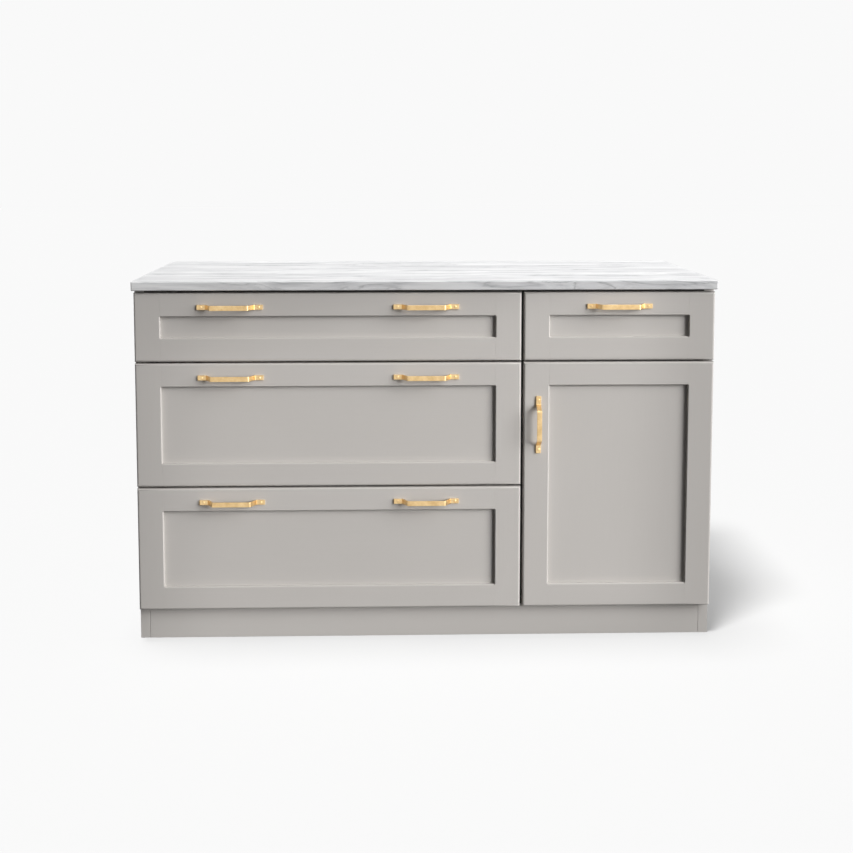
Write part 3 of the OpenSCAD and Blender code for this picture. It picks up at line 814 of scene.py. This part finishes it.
def make_bearings():
    """Ball cages that ride with the middle members: the outer behind, the inner in front."""
    bearing = bearing_tree()
    for drawer in DRAWERS:
        node = drawer + "_middle_runners"
        lo, hi = (Vector(c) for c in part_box(node))
        length = hi.y - lo.y
        height = (lo.z + hi.z) / 2
        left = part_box(drawer + "_box_sides")[0][0] - RUNNER_WIDTH
        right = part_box(drawer + "_box_sides")[1][0] + RUNNER_WIDTH
        lines = []
        for (inward, rise), start, end in (
            (OUTER_TRACK, lo.y + length * OUTER_START, hi.y - CAGE_INSET),
            (INNER_TRACK, lo.y + CAGE_INSET, lo.y + length * INNER_STOP),
        ):
            for x in (left + inward, right - inward):
                for z in (height - rise, height + rise):
                    lines.append([Vector((x, start, z)), Vector((x, end, z))])
        guide = guide_mesh(node + "_cages", lines, [(0, 0, 1)] * len(lines))
        mesh, bm = grow(node + "_cages", bearing, guide, "zinc_steel")
        members = drawer + "_middle_members"
        finish_piece(drawer + "_ball_cages", mesh, bm, "zinc_steel", members, [])


# the levelling feet: the radius of the cap under the base, the height at which the thread
# starts, and the distance from the pair under the partition to the pair on its left
CAP_RADIUS = 34 * MM
THREAD_BASE = 9 * MM
FEET_SPACING = 330 * MM


def make_foot_threads():
    """Threads on the stems of the levelling feet."""
    lo, hi = (Vector(c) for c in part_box("levelling_feet"))
    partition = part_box("centre_partition")
    middle = (partition[0][0] + partition[1][0]) / 2
    columns = (lo.x + CAP_RADIUS, middle - FEET_SPACING, middle, hi.x - CAP_RADIUS)
    rows = (lo.y + CAP_RADIUS, hi.y - CAP_RADIUS)
    points = [Vector((x, y, THREAD_BASE)) for x in columns for y in rows]
    guide = guide_mesh("feet", [[point] for point in points], [(0, 0, 1)] * len(points))
    mesh, bm = grow("foot_threads", thread_tree(), guide, "black_plastic")
    finish_piece("foot_threads", mesh, bm, "black_plastic", "root", [])


BODY_BOARDS = {
    "end_panel_left": "satin_paint", "end_panel_right": "satin_paint", "plinth": "satin_paint",
    "back_panel": "satin_paint", "centre_partition": "white_board", "base_board": "white_board",
    "top_rails": "white_board", "divider_rails": "white_board", "shelf": "white_board",
}


# how far the edges of each kind of piece are eased; the fronts and the box bottoms stay as cut
AS_CUT = 0
BOARD_EASE = 0.8 * MM
PLASTIC_EASE = 0.8 * MM
STONE_EASE = 0.4 * MM
TIMBER_EASE = 0.3 * MM
FIXED_STEEL_EASE = 0.2 * MM
MOVING_STEEL_EASE = 0.15 * MM


def make_body():
    for node, finish in BODY_BOARDS.items():
        dress(node, finish, "root", BOARD_EASE)
    dress("worktop", "veined_stone", "root", STONE_EASE)
    for node in ("shelf_pins", "body_runners", "hinge_arms"):
        dress(node, "zinc_steel", "root", FIXED_STEEL_EASE)
    dress("levelling_feet", "black_plastic", "root", PLASTIC_EASE)


def make_drawer(drawer):
    dress(drawer + "_frame", "satin_paint", drawer, AS_CUT)
    dress(drawer + "_panel", "satin_paint", drawer, AS_CUT)
    dress(drawer + "_box_sides", "pale_wood", drawer, TIMBER_EASE)
    dress(drawer + "_box_ends", "pale_wood", drawer, TIMBER_EASE)
    dress(drawer + "_box_bottom", "pale_wood", drawer, AS_CUT)
    dress(drawer + "_runners", "zinc_steel", drawer, MOVING_STEEL_EASE)
    middle_members = drawer + "_middle_members"
    dress(drawer + "_middle_runners", "zinc_steel", middle_members, MOVING_STEEL_EASE)


def make_door():
    dress("door_frame", "satin_paint", "door", AS_CUT)
    dress("door_panel", "satin_paint", "door", AS_CUT)
    dress("hinge_cups", "zinc_steel", "door", MOVING_STEEL_EASE)
    dress("hinge_links", "zinc_steel", "hinge_links", MOVING_STEEL_EASE)


# ------------------------------------------------------------------ floor and light

# how bright the backdrop shows, the floor's own glow, and how pale it is to its lamps
WHITE = 0.948
FLOOR_GLOW = 0.31
FLOOR_SHADE = 0.16
# how bright the room is to the unit
ROOM_LIGHT = 0.035
# the middle of the fronts, for the lamps that face them
FRONTS = (0.1, -0.3, 0.45)
# a sun's place changes nothing; this one is clear of the unit
SUN_PLACE = Vector((-3, -4, 4))


def background_rays(n):
    """1 for the rays that see the background, and 0 for those that light the unit."""
    path = n.node("ShaderNodeLightPath")
    rays = n.math("MAXIMUM", path.outputs["Is Camera Ray"], path.outputs["Is Glossy Ray"])
    return n.math("MAXIMUM", rays, path.outputs["Is Transmission Ray"])


def make_floor():
    """A pale floor that shows as the photograph's white and keeps the unit's shadow."""
    mesh = bpy.data.meshes.new("floor")
    bm = bmesh.new()
    bmesh.ops.create_grid(bm, x_segments=1, y_segments=1, size=30)
    bm.to_mesh(mesh)
    bm.free()
    floor = bpy.data.objects.new("floor", mesh)
    bpy.context.scene.collection.objects.link(floor)
    material = bpy.data.materials.new("floor_white")
    material.use_nodes = True
    material.node_tree.nodes.clear()
    n = Nodes(material.node_tree)
    seen = background_rays(n)
    shade = n.math("MULTIPLY", seen, FLOOR_SHADE)
    grey = n.node("ShaderNodeCombineXYZ", {0: shade, 1: shade, 2: shade}).outputs[0]
    pale = n.node("ShaderNodeBsdfDiffuse", {"Color": grey})
    shine = n.math("MULTIPLY", seen, FLOOR_GLOW)
    glow = n.node("ShaderNodeEmission", {"Color": (1, 1, 1, 1), "Strength": shine})
    both = n.node("ShaderNodeAddShader", {0: pale.outputs[0], 1: glow.outputs[0]})
    n.node("ShaderNodeOutputMaterial", {0: both.outputs[0]})
    mesh.materials.append(material)
    return floor


def make_room():
    """An even dim room for the unit, which shows as white behind it."""
    world = bpy.data.worlds.new("studio")
    bpy.context.scene.world = world
    world.use_nodes = True
    world.node_tree.nodes.clear()
    n = Nodes(world.node_tree)
    shown = n.math("MULTIPLY", background_rays(n), WHITE - ROOM_LIGHT)
    strength = n.math("ADD", shown, ROOM_LIGHT)
    back = n.node("ShaderNodeBackground", {"Color": (1, 1, 1, 1), "Strength": strength})
    n.node("ShaderNodeOutputWorld", {0: back.outputs[0]})


def hang(name, data, place, target, receivers):
    """Hangs a lamp that faces the target and lights only its receivers."""
    lamp = bpy.data.objects.new(name, data)
    bpy.context.scene.collection.objects.link(lamp)
    lamp.location = place
    lamp.rotation_euler = (Vector(target) - Vector(place)).to_track_quat("-Z", "Y").to_euler()
    lamp.light_linking.receiver_collection = receivers


def softbox(name, place, target, size, watts, receivers, spread=180):
    """A rectangular lamp, sized in metres, whose light spreads over an angle in degrees."""
    data = bpy.data.lights.new(name, "AREA")
    data.shape = "RECTANGLE"
    data.size, data.size_y = size
    data.energy = watts
    data.spread = math.radians(spread)
    hang(name, data, place, target, receivers)


def sunlight(name, way, strength, angle, receivers):
    """Sun from one direction; the wider its angle in degrees, the softer its shadows."""
    data = bpy.data.lights.new(name, "SUN")
    data.energy = strength
    data.angle = math.radians(angle)
    hang(name, data, SUN_PLACE, SUN_PLACE + Vector(way), receivers)


def make_lights(floor):
    """A broad softbox to the right, a glow on the middle, and others above and behind."""
    unit = bpy.data.collections.new("lit_unit")
    ground = bpy.data.collections.new("lit_floor")
    ground.objects.link(floor)
    for item in bpy.context.scene.objects:
        if item.type == "MESH" and item is not floor:
            unit.objects.link(item)
    softbox("key", (15.2, -10.1, 4.3), FRONTS, (9.6, 12.6), 4740, unit)
    softbox("high", (8.1, -7.0, 9.8), FRONTS, (7.0, 7.0), 725, unit)
    softbox("glow", (1.19, -1.95, 0.89), (-0.03, -0.3, 0.37), (0.93, 0.80), 0.62, unit, 7)
    softbox("overhead", (0.4, 0.4, 3.6), (0.1, 0, 0.5), (3.0, 2.0), 90, unit)
    softbox("left_side", (-3.4, 1.6, 0.42), (-0.6, 0.1, 0.42), (2.4, 0.8), 20, unit)
    softbox("back", (0.8, 4.0, 0.42), (0, 0.3, 0.42), (3.4, 0.8), 110, unit)
    sunlight("floor_front", (0.27, 0.42, -1), 9.9, 15, ground)
    sunlight("floor_top", (0.10, -0.05, -1), 3.6, 20, ground)
    make_room()


make_camera()
make_body()
for each in DRAWERS:
    make_drawer(each)
make_door()
screw_heads = screw_tree()
make_all_handles(screw_heads)
make_hinge_screws(screw_heads)
make_bearings()
make_foot_threads()
make_lights(make_floor())
bpy.context.scene.view_settings.view_transform = "Standard"
